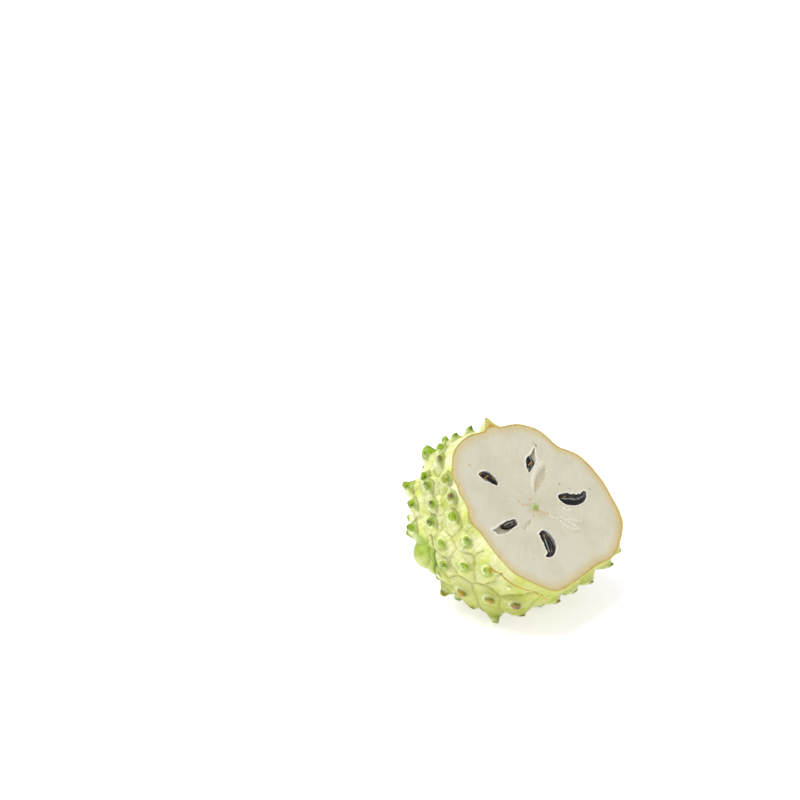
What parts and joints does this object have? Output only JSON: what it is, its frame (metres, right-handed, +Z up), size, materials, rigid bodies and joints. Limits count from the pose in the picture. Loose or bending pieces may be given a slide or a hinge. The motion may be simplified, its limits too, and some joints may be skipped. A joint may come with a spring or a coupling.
{
  "type": "soursop half",
  "caption": "Stem half of a ripe soursop cut across: thin spiny green rind, white flesh and glossy black seeds in their pockets, lying cut face up and forward.",
  "frame": {"origin": "middle of the bounding box's footprint, on the surface that the half rests on", "axes": "+Z up; the cut face looks toward -Y and up, and the stem end toward +Y and down"},
  "size_m": [0.111, 0.1046, 0.0944],
  "materials": {
    "rind": "waxy skin, satin, pale yellow-green with greener spine tips",
    "flesh": "moist cream-white pulp, softly glossy",
    "seed": "glossy black-brown seed coat",
    "stem": "dry brown bark"
  },
  "bodies": {
    "root": {"rind": "rind", "flesh": "flesh", "stem_stub": "stem", "seed_1": "seed", "seed_2": "seed", "seed_3": "seed", "seed_4": "seed", "seed_5": "seed"}
  },
  "joints": []
}
